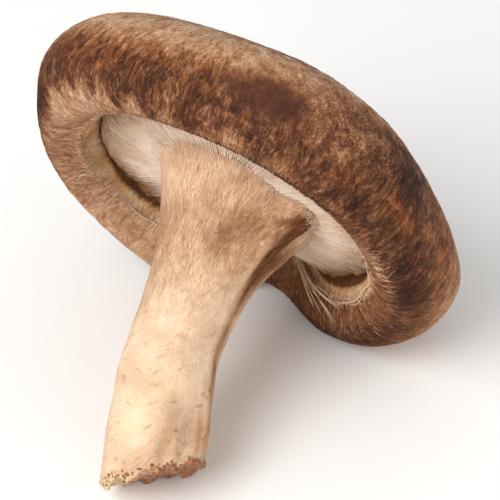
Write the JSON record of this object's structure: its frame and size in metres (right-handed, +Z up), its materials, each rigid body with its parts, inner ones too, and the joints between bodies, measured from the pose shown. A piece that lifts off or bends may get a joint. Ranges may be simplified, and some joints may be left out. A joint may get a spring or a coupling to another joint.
{
  "type": "shiitake mushroom",
  "caption": "Picked fresh mushroom lying on its side, with a thick domed cap, rolled-in rim, crowded gills and a bent, cut stem.",
  "frame": {"origin": "middle of the mushroom's footprint, on the surface it lies on", "axes": "+Z up; the gills and the stem face -Y, turned down towards the surface; the crown of the cap faces +Y and up"},
  "size_m": [0.059, 0.0656, 0.0566],
  "materials": {
    "cap_skin": "matte, fibrous brown skin",
    "gill_flesh": "matte, pale cream gills",
    "stem_flesh": "matte, fibrous tan flesh"
  },
  "bodies": {
    "root": {"mushroom": "cap_skin"}
  },
  "joints": []
}
